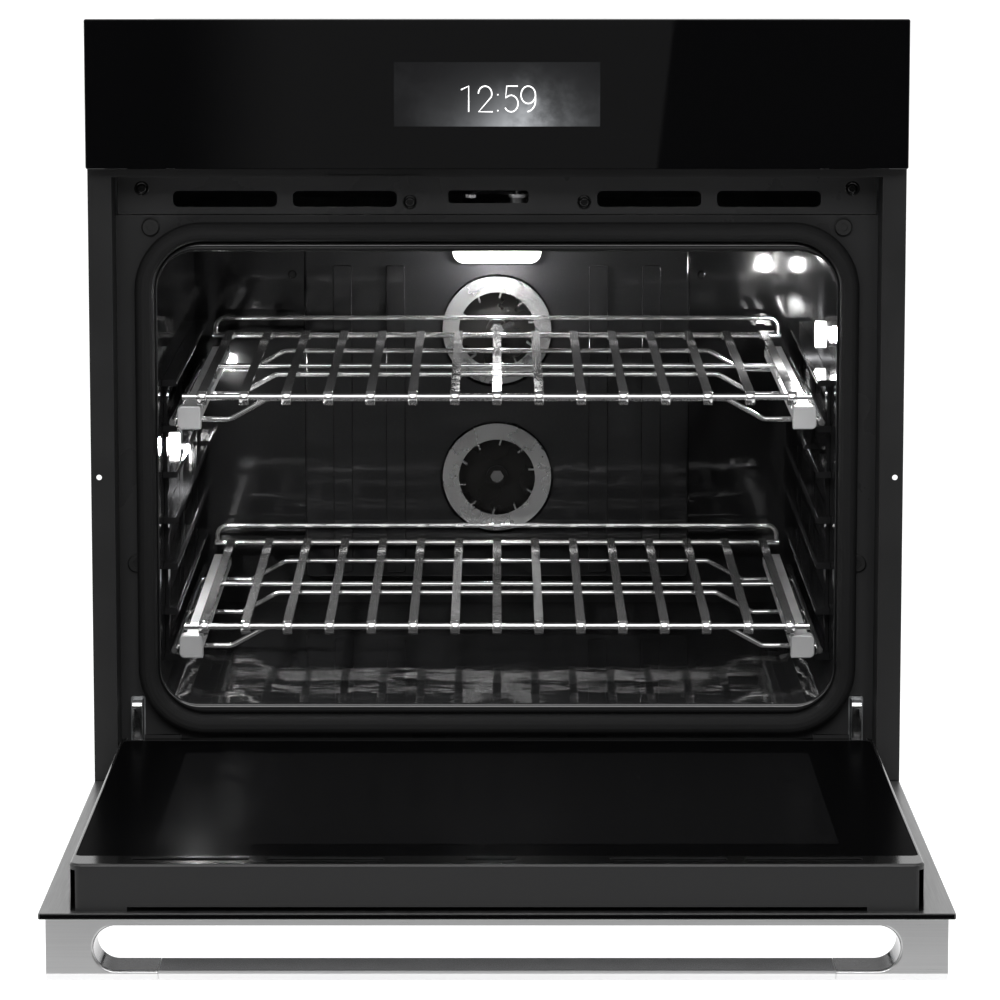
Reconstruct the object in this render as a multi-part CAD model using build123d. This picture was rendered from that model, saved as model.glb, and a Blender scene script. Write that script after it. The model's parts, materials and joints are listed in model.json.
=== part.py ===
from build123d import *
import math
import os

# A built-in single wall oven, stored with its drop-down door open and both racks pushed in.
# Millimetres. X to the right, Y to the back, Z up.
# Origin: middle of the width, on the cabinet face plane, at the height of the cabinet shelf.

# ---- overall sizes ----
WIDTH = 756.0            # control panel, door and side trims
HEIGHT = 732.0           # shelf to the top of the control panel
DEPTH = 607.0            # cabinet face to the back of the chassis
CHASSIS_W = 720.0        # inside the cabinet cut-out
FRONT_Y = -20.0          # outer face of the panel and of the closed door
GLASS_T = 4.0
SHEET = 1.2              # steel sheet
TRIM_T = 1.5
CHASSIS_DROP = 34.0      # chassis top below the panel top

# ---- clearances ----
FIT = 0.5                # pieces that pass beside each other
RUNNING = 0.05           # radial clearance of pins and shafts
SEAL_GAP = 1.5           # closed door to gasket
DOOR_TOP_GAP = 4.0       # closed door to control panel
DOOR_SIDE_GAP = 3.0      # closed door box to the recess walls

# ---- recess and front frame ----
RECESS_HALF = 356.0
FRAME_Y = 44.0
FRAME_TOP_Z = 546.0
BOTTOM_TRIM_Z = 6.0
PANEL_Z = 594.5
CROSS_LOW_Z = 585.5
CROSS_TOP_Z = 594.0
CROSS_SLOT_Z = 587.2
CROSS_SLOT = (-157.0, -71.0)
CROSS_SLOT_H = 4.3
CABINET_SCREW_X = 370.5
CABINET_SCREW_Z = 305.0
CABINET_SCREW_R = 2.6

# ---- cavity ----
CAVITY_HALF = 318.0
CAVITY_LOW = 82.0
CAVITY_HIGH = 512.0
CAVITY_BACK = 567.0
CAVITY_R = 36.0
LIP_PROUD = 2.0

# ---- vents, shared by the trim and the door liner ----
VENT_TRIM_GAP = 2.0
VENT_L = 97.0
VENT_H = 15.0
VENT_R = 5.0
VENT_Z = 561.0
VENT_X = (142.0, 253.75)
STRIKE_Z = 563.0

# ---- gasket ----
GASKET_HALF = 338.5
GASKET_LOW = 53.5
GASKET_HIGH = 540.0
GASKET_BAND = 18.0
GASKET_R = 64.0

# ---- racks ----
RACK_PITCH = 44.0
RACK_LEVELS = 7
LOWEST_LEVEL = 151.5
LOWER_LEVEL = 0
UPPER_LEVEL = 5
ROD_R = 3.0
FRONT_ROD_Y = 65.0
BACK_ROD_Y = 536.0
SLATS = 15
SLAT_PITCH = 39.8
SLAT_W = 8.5
SLAT_T = 1.8
SHELF_HALF = 297.0
GUARD_RISE = 18.0
RAIL_X = 291.0
RAIL_FRONT_Y = 82.0
RAIL_BACK_Y = 528.0
RAIL_T = 1.2
RAIL_H = 14.0
RAIL_W = 11.5
RAIL_DROP = 18.0         # shelf rod centre down to the rail centre
FRAME_DROP = 28.0        # shelf rod centre down to the frame rods
FRAME_HALF = 308.5
END_BLOCK = 22.0
END_DROP = 20.0          # shelf rod centre down to the middle of the end block
CROSSBAR_Y = (111.0, 287.0, 470.0)
GUIDE_REACH = 14.0       # rib depth from the cavity wall
GUIDE_H = 6.0
GUIDE_GAP = 0.3          # guide to cavity wall
SIDE_ROD_R = 2.8         # a little thinner than the front and back rods

# ---- convection ----
FAN_Z = {"lower": 219.0, "upper": 375.0}
FAN_R = 57.0
FAN_EYE_R = 59.5
BAFFLE_HALF = 202.0
BAFFLE_FLANGE = 24.0
BAFFLE_LOW = 112.0
BAFFLE_HIGH = 482.0
BAFFLE_DEPTH = 20.0
SHAFT_R = 4.0
BLADES = 10
LAMP_L = 92.0
LAMP_H = 24.0
LAMP_Z = 458.0

# ---- door, described closed and then opened about the hinge ----
HINGE_Y = 10.0
HINGE_Z = 41.5
OPEN_DEG = 89.0
HINGE_X = 340.0
HINGE_PIN_R = 3.0
ARM_W = 9.0
ARM_H = 11.0
DOOR_LOW = 54.0
LINER_LOW = 45.0
LINER_TOP = 583.5
LINER_BACK = 25.0
GLASS_EDGE = 3.0         # metal rim beside the inner glass
INNER_LOW = 60.0
INNER_HIGH = 552.0
WINDOW_HALF = 287.5
WINDOW_Z = (117.0, 504.5)
SKIN_T = 1.0

# ---- handle ----
HANDLE_Z = (481.5, 527.5)
HANDLE_BASE = 20.0
HANDLE_WALL = 3.5
HANDLE_GAP = 39.0
HANDLE_BAR = 9.2
HANDLE_BEVEL = 5.4
HANDLE_OPENING = 338.6
HANDLE_SEAM = 284.4
HANDLE_RIM = 1.8         # rounding of the opening's edge on the two ends

# ---- display ----
LCD_W = 189.0
LCD_H = 59.0
TRAY_INSET = 1.5         # tray edge inside the panel glass

# ---- derived sizes and back of the chassis ----
CHASSIS_TOP = HEIGHT - CHASSIS_DROP
HALF = WIDTH / 2
CHASSIS_HALF = CHASSIS_W / 2
VENT_CENTRES = [side * x for side in (-1, 1) for x in VENT_X]
INLET_X = 250.0
INLET_Z = 660.0
INLET_R = 11.0
INLET_WALL = 3.0
INLET_LENGTH = 18.0
NUT_GROW = 5.0           # lock nut radius beyond the sleeve
NUT_T = 6.0
BACK_SLOT_X = (-200, -170, -140, 140, 170, 200)
BACK_SLOT_Z = (560.0, 640.0)
BACK_SLOT_W = 10.0
THROUGH = 5.0            # how far a cutter runs past a sheet

# ---- front fittings ----
BUMPERS = [(323.5, 534.7), (340.0, 216.0)]
BUMPER_R = 8.4
BUMPER_H = 3.5
BUMPER_HOLE_R = 2.2
TRIM_SCREWS = [(331.5, 570.7), (81.3, 558.0)]
TRIM_SCREW_R = 4.3
TRIM_SHANK_R = 2.0
LATCH_SLOT_X = -8.0
LATCH_SLOT_L = 75.0
LATCH_SLOT_H = 12.0

# ---- cavity fittings ----
SIDE_LAMP_Y = 250.0
SIDE_LAMP_Z = {-1: 297.5, 1: 408.0}
SIDE_LAMP_R = 13.0
BAFFLE_SCREWS = [(-215.0, 432.0), (215.0, 432.0), (-215.0, 147.0), (215.0, 147.0)]
EMBOSS_X = (106.3, 161.8)
EMBOSS_W = 20.0
EMBOSS_Z = (118.0, 444.0)
EMBOSS_RISE = 2.0
BROIL_HALF = 230.0
BROIL_Y = (165.0, 480.0)
BROIL_RUNS = 6
BROIL_DROP = 9.0         # cavity roof down to the broil element
BROIL_BEND = 20.0
BROIL_R = 3.5

# ---- rack details ----
SHELF_SIDE = 281.5
SHELF_CROSS_Y = 292.0
CROSS_ROD_R = 2.4
GUARD_HALF = 294.0
INNER_H = 7.0
INNER_W = 14.0
FRAME_ROD_R = 2.4
CROSSBAR_DROP = 8.0
CROSSBAR_BEND = (219.0, 254.5)

# ---- latch and cooling blower ----
LATCH_PIVOT = (20.0, 60.0)
LATCH_PIN_R = 3.0
LATCH_R = (44.0, 50.0)
LATCH_T = 3.0
BLOWER_Y = 330.0
BLOWER_LOW = 560.0
BLOWER_H = 58.0
BLOWER_R = 74.0
BLOWER_WHEEL_R = 64.0
BLOWER_BLADES = 18

# ---- door box and hinge details ----
DOOR_BOX_HALF = RECESS_HALF - DOOR_SIDE_GAP
BOX_CORNER = 10.0
BOX_EDGE = 2.8
RIM_HALF = 305.0         # folded lip along the door's top edge
RIM_T = 4.0
STRIKE_SLOT = (-26.0, 16.0)
RIDGE_X = (297.0, 331.0)
RIDGE_RISE = 3.0
CHANNEL_W = 14.0
CHANNEL_T = 1.8
CHANNEL_TOP = 190.0
CHANNEL_NOTCH = INNER_LOW - 1.5
LINK_Y = (29.0, 43.5)    # upright link, between the closed door and the front frame
LINK_TOP = 86.0
HOOK_LOW = 64.0
ARM_BACK = 90.0


def save(name, shape):
    """Write one sub-part to its own file."""
    export_step(shape, f"parts/{name}.step")


def block(x0, x1, y0, y1, z0, z1):
    """Rectangular solid between two corners."""
    middle = Pos((x0 + x1) / 2, (y0 + y1) / 2, (z0 + z1) / 2)
    return middle * Box(x1 - x0, y1 - y0, z1 - z0)


def upright(outline, x, z, y0, y1):
    """Sketch turned to face the front and made solid from y0 back to y1."""
    return Pos(x, y1, z) * Rot(X=90) * extrude(outline, amount=y1 - y0)


def rounded(x0, x1, y0, y1, z0, z1, radius):
    """Front-facing plate with four rounded corners."""
    outline = RectangleRounded(x1 - x0, z1 - z0, radius)
    return upright(outline, (x0 + x1) / 2, (z0 + z1) / 2, y0, y1)


def disc(x, z, radius, y0, y1):
    """Round solid whose axis runs front to back."""
    return upright(Circle(radius), x, z, y0, y1)


def rod_x(x0, x1, y, z, radius):
    """Straight round rod across the width."""
    return Pos((x0 + x1) / 2, y, z) * Rot(Y=90) * Cylinder(radius, x1 - x0)


def rod_y(x, y0, y1, z, radius):
    """Straight round rod from front to back."""
    return Pos(x, (y0 + y1) / 2, z) * Rot(X=90) * Cylinder(radius, y1 - y0)


def post(x, y, z0, z1, radius):
    """Upright round pin."""
    return Pos(x, y, (z0 + z1) / 2) * Cylinder(radius, z1 - z0)


def bent_rod(points, bend, radius):
    """Round rod along straight runs with rounded bends."""
    path = FilletPolyline(*points, radius=bend)
    return sweep(Plane(path @ 0, z_dir=path % 0) * Circle(radius), path=path)


def both(shape):
    """A piece and its mirror image on the other side."""
    return shape + mirror(shape, about=Plane.YZ)


def mirrored(shape):
    """Mirror image on the other side."""
    return mirror(shape, about=Plane.YZ)


def opened(shape):
    """Turn a piece of the closed door down about the hinge axis."""
    swing = Pos(0, HINGE_Y, HINGE_Z) * Rot(X=OPEN_DEG) * Pos(0, -HINGE_Y, -HINGE_Z)
    return swing * shape


# ---------------------------------------------------------------- chassis


def chassis():
    """Folded sheet box that stands in the cabinet."""
    inner = CHASSIS_HALF - SHEET
    save("chassis_base", block(-CHASSIS_HALF, CHASSIS_HALF, 0, DEPTH, 0, SHEET))
    side = block(inner, CHASSIS_HALF, 0, DEPTH, SHEET, CHASSIS_TOP - SHEET)
    save("chassis_side_right", side)
    save("chassis_side_left", mirrored(side))
    back = block(-inner, inner, DEPTH - SHEET, DEPTH, SHEET, CHASSIS_TOP - SHEET)
    wide = BACK_SLOT_W / 2
    for x in BACK_SLOT_X:
        back -= rounded(
            x - wide, x + wide, DEPTH - THROUGH, DEPTH + THROUGH, *BACK_SLOT_Z, wide - 0.1
        )
    back -= disc(INLET_X, INLET_Z, INLET_R, DEPTH - 5, DEPTH + 5)
    save("chassis_back", back)
    top = block(-CHASSIS_HALF, CHASSIS_HALF, 0, DEPTH, CHASSIS_TOP - SHEET, CHASSIS_TOP)
    save("chassis_top", top)


def conduit_gland():
    """Lock nut and sleeve where the supply conduit enters the back."""
    sleeve = disc(INLET_X, INLET_Z, INLET_R + INLET_WALL, DEPTH, DEPTH + INLET_LENGTH)
    nut = RegularPolygon(INLET_R + INLET_WALL + NUT_GROW, 6)
    sleeve += upright(nut, INLET_X, INLET_Z, DEPTH, DEPTH + NUT_T)
    sleeve -= disc(INLET_X, INLET_Z, INLET_R, DEPTH - 1, DEPTH + INLET_LENGTH + 1)
    save("conduit_gland", sleeve)


def side_trims():
    """Flanges that cover the cut-out's edges, with the cabinet screw holes."""
    flange = block(RECESS_HALF, HALF, -TRIM_T, 0, 0, CROSS_TOP_Z)
    wall = block(RECESS_HALF, RECESS_HALF + TRIM_T, 0, FRAME_Y, SHEET, CROSS_TOP_Z)
    hole = disc(CABINET_SCREW_X, CABINET_SCREW_Z, CABINET_SCREW_R, -5, 5)
    trim = flange + wall - hole
    save("side_trim_right", trim)
    save("side_trim_left", mirrored(trim))


def bottom_trim():
    """Low strip under the door, folded back into the recess floor."""
    face = block(-RECESS_HALF, RECESS_HALF, -TRIM_T, 0, 0, BOTTOM_TRIM_Z)
    floor = block(-RECESS_HALF, RECESS_HALF, 0, FRAME_Y, BOTTOM_TRIM_Z - SHEET, BOTTOM_TRIM_Z)
    save("bottom_trim", face + floor)


def upper_cross_trim():
    """Strip above the door with its drain slot, folded back into the recess ceiling."""
    face = block(-RECESS_HALF, RECESS_HALF, -TRIM_T, 0, CROSS_LOW_Z, CROSS_TOP_Z)
    ceiling = block(-RECESS_HALF, RECESS_HALF, 0, FRAME_Y, CROSS_LOW_Z, CROSS_LOW_Z + SHEET)
    slot = block(*CROSS_SLOT, -5, -0.6, CROSS_SLOT_Z, CROSS_SLOT_Z + CROSS_SLOT_H)
    save("upper_cross_trim", face + ceiling - slot)


def front_frame():
    """Plate around the oven's mouth, with slots for the hinge arms."""
    half = RECESS_HALF + TRIM_T
    plate = block(-half, half, FRAME_Y, FRAME_Y + SHEET, BOTTOM_TRIM_Z, FRAME_TOP_Z)
    grow = SHEET + FIT
    plate -= rounded(
        -CAVITY_HALF - grow,
        CAVITY_HALF + grow,
        FRAME_Y - 5,
        FRAME_Y + 5,
        CAVITY_LOW - grow,
        CAVITY_HIGH + grow,
        CAVITY_R + grow,
    )
    wide = ARM_W / 2 + 2.5
    for x in (-HINGE_X, HINGE_X):
        plate -= rounded(x - wide, x + wide, FRAME_Y - 5, FRAME_Y + 5, 35, LINK_TOP + 3, 3)
    for x, z in BUMPERS:
        for side in (-1, 1):
            plate -= disc(side * x, z, BUMPER_HOLE_R + RUNNING, FRAME_Y - 5, FRAME_Y + 5)
    save("front_frame", plate)


def frame_bumpers():
    """Round stops that the closed door meets, each on its own stud."""
    stops = []
    for x, z in BUMPERS:
        for side in (-1, 1):
            stop = disc(side * x, z, BUMPER_R, FRAME_Y - BUMPER_H, FRAME_Y)
            stop = chamfer(stop.edges().sort_by(Axis.Y)[0], 1.2)
            stop -= disc(side * x, z, 3.8, FRAME_Y - BUMPER_H - 1, FRAME_Y - BUMPER_H + 1.2)
            stop += disc(side * x, z, BUMPER_HOLE_R, FRAME_Y, FRAME_Y + 8)
            stops.append(stop)
    save("frame_bumpers", Compound(children=stops))


def vent_trim():
    """Plate above the mouth with four cooling vents and the latch slot."""
    half = RECESS_HALF - VENT_TRIM_GAP
    plate = block(-half, half, FRAME_Y, FRAME_Y + SHEET, FRAME_TOP_Z + 0.8, CROSS_LOW_Z + SHEET)
    for x in VENT_CENTRES:
        low = VENT_Z - VENT_H / 2
        plate -= rounded(
            x - VENT_L / 2, x + VENT_L / 2, FRAME_Y - 5, FRAME_Y + 5, low, low + VENT_H, VENT_R
        )
    slot_x = LATCH_SLOT_X - LATCH_SLOT_L / 2
    slot_z = STRIKE_Z - LATCH_SLOT_H / 2
    plate -= rounded(
        slot_x,
        slot_x + LATCH_SLOT_L,
        FRAME_Y - 5,
        FRAME_Y + 5,
        slot_z,
        slot_z + LATCH_SLOT_H,
        3,
    )
    for x, z in TRIM_SCREWS:
        for side in (-1, 1):
            plate -= disc(side * x, z, TRIM_SHANK_R + RUNNING, FRAME_Y - 5, FRAME_Y + 5)
    save("vent_trim", plate)


def screw(x, z, face_y, head_r, shank_r, length):
    """Pan-head screw seen from the front, with a cross recess."""
    head = disc(x, z, head_r, face_y - 2.4, face_y)
    head = fillet(head.edges().sort_by(Axis.Y)[0], 1.4)
    cross = block(x - 2, x + 2, face_y - 3, face_y - 1.4, z - 0.5, z + 0.5)
    cross += block(x - 0.5, x + 0.5, face_y - 3, face_y - 1.4, z - 2, z + 2)
    return head - cross + disc(x, z, shank_r, face_y, face_y + length)


def trim_screws():
    """Four screws of the vent trim."""
    screws = []
    for x, z in TRIM_SCREWS:
        for side in (-1, 1):
            screws.append(screw(side * x, z, FRAME_Y, TRIM_SCREW_R, TRIM_SHANK_R, 9))
    save("trim_screws", Compound(children=screws))


def door_gasket():
    """Braided seal around the mouth, held just clear of the closed door."""
    front = LINER_BACK + SEAL_GAP
    outer = rounded(-GASKET_HALF, GASKET_HALF, front, FRAME_Y, GASKET_LOW, GASKET_HIGH, GASKET_R)
    inside = GASKET_HALF - GASKET_BAND
    outer -= rounded(
        -inside,
        inside,
        front - 5,
        FRAME_Y + 5,
        GASKET_LOW + GASKET_BAND,
        GASKET_HIGH - GASKET_BAND,
        GASKET_R - GASKET_BAND,
    )
    front_edges = outer.edges().filter_by(lambda edge: abs(edge.center().Y - front) < 0.01)
    outer = fillet(front_edges, 7.0)
    for x, z in BUMPERS:
        for side in (-1, 1):
            outer -= disc(side * x, z, BUMPER_R + FIT, FRAME_Y - BUMPER_H - FIT, FRAME_Y + 1)
    save("door_gasket", outer)


# ---------------------------------------------------------------- cavity

def cavity_liner():
    """Enamelled tube of the oven cavity with its rolled mouth."""
    front = FRAME_Y - LIP_PROUD
    wall = SHEET
    tube = rounded(
        -CAVITY_HALF - wall,
        CAVITY_HALF + wall,
        FRAME_Y,
        CAVITY_BACK,
        CAVITY_LOW - wall,
        CAVITY_HIGH + wall,
        CAVITY_R + wall,
    )
    side_out = GASKET_HALF - GASKET_BAND - CAVITY_HALF - FIT
    lip = rounded(
        -CAVITY_HALF - side_out,
        CAVITY_HALF + side_out,
        front,
        FRAME_Y,
        GASKET_LOW + GASKET_BAND + FIT,
        GASKET_HIGH - GASKET_BAND - FIT,
        GASKET_R - GASKET_BAND - FIT,
    )
    bore = rounded(
        -CAVITY_HALF,
        CAVITY_HALF,
        front - 5,
        CAVITY_BACK + 5,
        CAVITY_LOW,
        CAVITY_HIGH,
        CAVITY_R,
    )
    liner = tube + lip - bore
    for side in (-1, 1):
        cut = Pos(side * CAVITY_HALF, SIDE_LAMP_Y, SIDE_LAMP_Z[side]) * Rot(Y=90)
        liner -= cut * Cylinder(SIDE_LAMP_R + FIT, 10)
    save("cavity_liner", liner)


def cavity_back():
    """Rear wall of the cavity."""
    wall = SHEET
    back = rounded(
        -CAVITY_HALF - wall,
        CAVITY_HALF + wall,
        CAVITY_BACK,
        CAVITY_BACK + wall,
        CAVITY_LOW - wall,
        CAVITY_HIGH + wall,
        CAVITY_R + wall,
    )
    for z in FAN_Z.values():
        back -= disc(0, z, SHAFT_R + 4, CAVITY_BACK - 5, CAVITY_BACK + 5)
    for x, z in BAFFLE_SCREWS:
        back -= disc(x, z, 1.6 + RUNNING, CAVITY_BACK - 5, CAVITY_BACK + 5)
    save("cavity_back", back)


def rack_guides():
    """Ladder of ribs on each side wall that the rack frames slide on."""
    wall = CAVITY_HALF - GUIDE_GAP
    rib_y = (88.0, 548.0)
    guide = None
    for level in range(RACK_LEVELS):
        top = LOWEST_LEVEL + level * RACK_PITCH - FRAME_DROP - ROD_R
        rib = block(wall - GUIDE_REACH, wall, *rib_y, top - GUIDE_H, top)
        tips = rib.edges().filter_by(Axis.Y).sort_by(Axis.X)[:2]
        rib = fillet(tips, GUIDE_H / 2 - 0.4)
        guide = rib if guide is None else guide + rib
    low = LOWEST_LEVEL - FRAME_DROP - ROD_R - GUIDE_H
    high = LOWEST_LEVEL + (RACK_LEVELS - 1) * RACK_PITCH - FRAME_DROP - ROD_R
    for y in (120.0, 330.0, 520.0):
        guide += block(wall - 3, wall, y - 12, y + 12, low, high)
    for level in SIDE_LAMP_Z.values():
        clear = Pos(wall, SIDE_LAMP_Y, level) * Rot(Y=90)
        guide -= clear * Cylinder(SIDE_LAMP_R + 5, 60)
    save("rack_guide_right", guide)
    save("rack_guide_left", mirrored(guide))


def convection_baffle():
    """Raised pan over the two fans, with round eyes and upright ribs."""
    front = CAVITY_BACK - BAFFLE_DEPTH
    out = BAFFLE_HALF + BAFFLE_FLANGE
    pan = rounded(-BAFFLE_HALF, BAFFLE_HALF, front, CAVITY_BACK, BAFFLE_LOW, BAFFLE_HIGH, 6)
    pan = fillet(pan.edges().group_by(Axis.Y)[0], 3.0)
    pan += rounded(-out, out, CAVITY_BACK - SHEET, CAVITY_BACK, BAFFLE_LOW, BAFFLE_HIGH, 6)
    hollow = rounded(
        -BAFFLE_HALF + SHEET,
        BAFFLE_HALF - SHEET,
        front + SHEET,
        CAVITY_BACK + 5,
        BAFFLE_LOW + SHEET,
        BAFFLE_HIGH - SHEET,
        5,
    )
    pan -= hollow
    for side in (-1, 1):
        for x in EMBOSS_X:
            middle = side * x
            rib = rounded(
                middle - EMBOSS_W / 2,
                middle + EMBOSS_W / 2,
                front - EMBOSS_RISE,
                front + SHEET,
                *EMBOSS_Z,
                3,
            )
            pan += fillet(rib.edges().group_by(Axis.Y)[0], 1.2)
    for z in FAN_Z.values():
        pan -= disc(0, z, FAN_EYE_R, front - 5, front + 8)
    pan -= rounded(
        -LAMP_L / 2 + 2,
        LAMP_L / 2 - 2,
        front - 5,
        front + 8,
        LAMP_Z - LAMP_H / 2 + 2,
        LAMP_Z + LAMP_H / 2 - 2,
        LAMP_H / 2 - 2.1,
    )
    for x, z in BAFFLE_SCREWS:
        pan -= disc(x, z, 1.6 + RUNNING, CAVITY_BACK - 5, CAVITY_BACK + 5)
    save("convection_baffle", pan)


def baffle_screws():
    """Four screws that hold the baffle to the rear wall."""
    face = CAVITY_BACK - SHEET
    screws = [screw(x, z, face, 4.5, 1.6, 6) for x, z in BAFFLE_SCREWS]
    save("baffle_screws", Compound(children=screws))


def fan(name, z):
    """Wheel with an annular front plate, swept blades and a shaft into its motor."""
    front = CAVITY_BACK - BAFFLE_DEPTH + SHEET + 1.5
    back = CAVITY_BACK - 4
    wheel = disc(0, z, FAN_R, front, front + 1) - disc(0, z, 40, front - 1, front + 2)
    wheel += disc(0, z, FAN_R, back - 1.2, back)
    for number in range(BLADES):
        blade = block(33, FAN_R - 0.5, front, back, -0.7, 0.7)
        turn = Pos(0, 0, z) * Rot(Y=360 * number / BLADES) * Pos(0, 0, 8)
        wheel += turn * blade
    wheel += disc(0, z, 11, back - 7, back)
    wheel += disc(0, z, SHAFT_R, back, CAVITY_BACK + 24)
    wheel += upright(RegularPolygon(7, 6), 0, z, back - 11, back - 7)
    save(f"{name}_fan_wheel", wheel)
    motor = disc(0, z, 32, CAVITY_BACK + 8, DEPTH - SHEET - 6)
    motor += block(-45, 45, CAVITY_BACK + SHEET, CAVITY_BACK + 8, z - 12, z + 12)
    motor -= disc(0, z, SHAFT_R + RUNNING, CAVITY_BACK, CAVITY_BACK + 26)
    save(f"{name}_fan_motor", motor)
    ring = Pos(0, CAVITY_BACK - 9, z) * Rot(X=90) * Torus(70, 3.2)
    save(f"{name}_fan_element", ring)


def broil_element():
    """Heating rod that loops back and forth under the cavity roof."""
    z = CAVITY_HIGH - BROIL_DROP
    near, far = BROIL_Y
    step = 2 * BROIL_HALF / (BROIL_RUNS - 1)
    points = [(-BROIL_HALF, CAVITY_BACK, z), (-BROIL_HALF, near, z)]
    for number in range(1, BROIL_RUNS - 1):
        x = -BROIL_HALF + number * step
        run = [(x, near, z), (x, far, z)]
        points += run if number % 2 == 1 else run[::-1]
    points += [(BROIL_HALF, near, z), (BROIL_HALF, CAVITY_BACK, z)]
    save("broil_element", bent_rod(points, BROIL_BEND, BROIL_R))


def lamps():
    """Glass lenses and their metal housings: one on the baffle and one in each side wall."""
    front = CAVITY_BACK - BAFFLE_DEPTH
    low = LAMP_Z - LAMP_H / 2
    rear = rounded(
        -LAMP_L / 2, LAMP_L / 2, front - 6, front, low, low + LAMP_H, LAMP_H / 2 - 0.1
    )
    rear = fillet(rear.edges().group_by(Axis.Y)[0], 4)
    lenses = [rear]
    cans = []
    depth = 22
    for side in (-1, 1):
        z = SIDE_LAMP_Z[side]
        spot = Pos(side * (CAVITY_HALF + SHEET - 3), SIDE_LAMP_Y, z) * Rot(Y=90)
        lenses.append(spot * Cylinder(SIDE_LAMP_R, 6))
        middle = CAVITY_HALF + SHEET + depth / 2
        can = Pos(side * middle, SIDE_LAMP_Y, z) * Rot(Y=90) * Cylinder(SIDE_LAMP_R + 6, depth)
        hollow = Pos(side * (middle - 2), SIDE_LAMP_Y, z) * Rot(Y=90)
        can -= hollow * Cylinder(SIDE_LAMP_R - 2, depth)
        cans.append(can)
    save("lamp_lenses", Compound(children=lenses))
    save("lamp_housings", Compound(children=cans))


# ---------------------------------------------------------------- racks

def rack_levels():
    """Heights of the two racks' front rods."""
    return {
        "lower": LOWEST_LEVEL + LOWER_LEVEL * RACK_PITCH,
        "upper": LOWEST_LEVEL + UPPER_LEVEL * RACK_PITCH,
    }


def slat(x, z):
    """Flat bar wrapped round the front and back rods, with a small drop near the back."""
    half = SLAT_W / 2
    top = z + ROD_R + SLAT_T
    level = block(x - half, x + half, FRONT_ROD_Y, BACK_ROD_Y, top - SLAT_T, top)
    wrap = ROD_R + SLAT_T
    level += rod_x(x - half, x + half, FRONT_ROD_Y, z, wrap)
    level += rod_x(x - half, x + half, BACK_ROD_Y, z, wrap)
    return level


def shelf(name, z):
    """Welded shelf: rods, slats, guard rail and the posts that stand on the inner rails."""
    body = rod_x(-SHELF_HALF, SHELF_HALF, FRONT_ROD_Y, z, ROD_R)
    body += rod_x(-SHELF_HALF, SHELF_HALF, BACK_ROD_Y, z, ROD_R)
    body += rod_x(-SHELF_SIDE, SHELF_SIDE, SHELF_CROSS_Y, z - 0.2, CROSS_ROD_R)
    for x in (-SHELF_SIDE, SHELF_SIDE):
        body += rod_y(x, FRONT_ROD_Y, BACK_ROD_Y, z, SIDE_ROD_R)
        for y in (FRONT_ROD_Y + 30, 300.0, BACK_ROD_Y - 20):
            body += post(x, y, z - RAIL_DROP + INNER_H / 2, z, CROSS_ROD_R)
    for number in range(SLATS):
        body += slat((number - (SLATS - 1) / 2) * SLAT_PITCH, z)
    guard_y = BACK_ROD_Y + 2
    guard = bent_rod(
        [
            (-GUARD_HALF, BACK_ROD_Y, z - 0.4),
            (-GUARD_HALF, guard_y, z + GUARD_RISE),
            (GUARD_HALF, guard_y, z + GUARD_RISE),
            (GUARD_HALF, BACK_ROD_Y, z - 0.4),
        ],
        10,
        CROSS_ROD_R,
    )
    save(f"{name}_shelf", body + guard)


def channel(x_web, z, width, height, thick):
    """C-shaped rail that opens towards the middle of the oven."""
    high = z + height / 2
    low = z - height / 2
    rail = block(x_web - width, x_web, RAIL_FRONT_Y, RAIL_BACK_Y, low, high)
    hollow = block(
        x_web - width - 1, x_web - thick, RAIL_FRONT_Y - 1, RAIL_BACK_Y + 1, low + thick, high - thick
    )
    return rail - hollow


def rails(name, z):
    """Telescopic runners, one pair on each side of a rack."""
    middle = z - RAIL_DROP
    web = RAIL_X + RAIL_W / 2
    outer = channel(web, middle, RAIL_W, RAIL_H, RAIL_T)
    save(f"{name}_rail_outer", both(outer))
    step = RAIL_T + FIT
    inner_channel = channel(web - step, middle, RAIL_W - step, RAIL_H - 2 * step, RAIL_T)
    save(f"{name}_rail_middle", both(inner_channel))
    tongue_x = web - 2 * step
    tongue = block(
        tongue_x - INNER_W,
        tongue_x,
        RAIL_FRONT_Y,
        RAIL_BACK_Y,
        middle - INNER_H / 2,
        middle + INNER_H / 2,
    )
    cap = block(
        RAIL_X - END_BLOCK / 2,
        RAIL_X + END_BLOCK / 2,
        RAIL_FRONT_Y - END_BLOCK + 6,
        RAIL_FRONT_Y - FIT,
        z - END_DROP - END_BLOCK / 2,
        z - END_DROP + END_BLOCK / 2,
    )
    cap = fillet(cap.edges().filter_by(Axis.Y).group_by(Axis.X)[-1], 5)
    cap = fillet(cap.edges().group_by(Axis.Y)[0], 1.2)
    neck = block(
        tongue_x - INNER_W,
        tongue_x,
        RAIL_FRONT_Y - FIT - 1,
        RAIL_FRONT_Y,
        middle - INNER_H / 2,
        middle + INNER_H / 2,
    )
    save(f"{name}_rail_inner", both(tongue + neck + cap))


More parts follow.
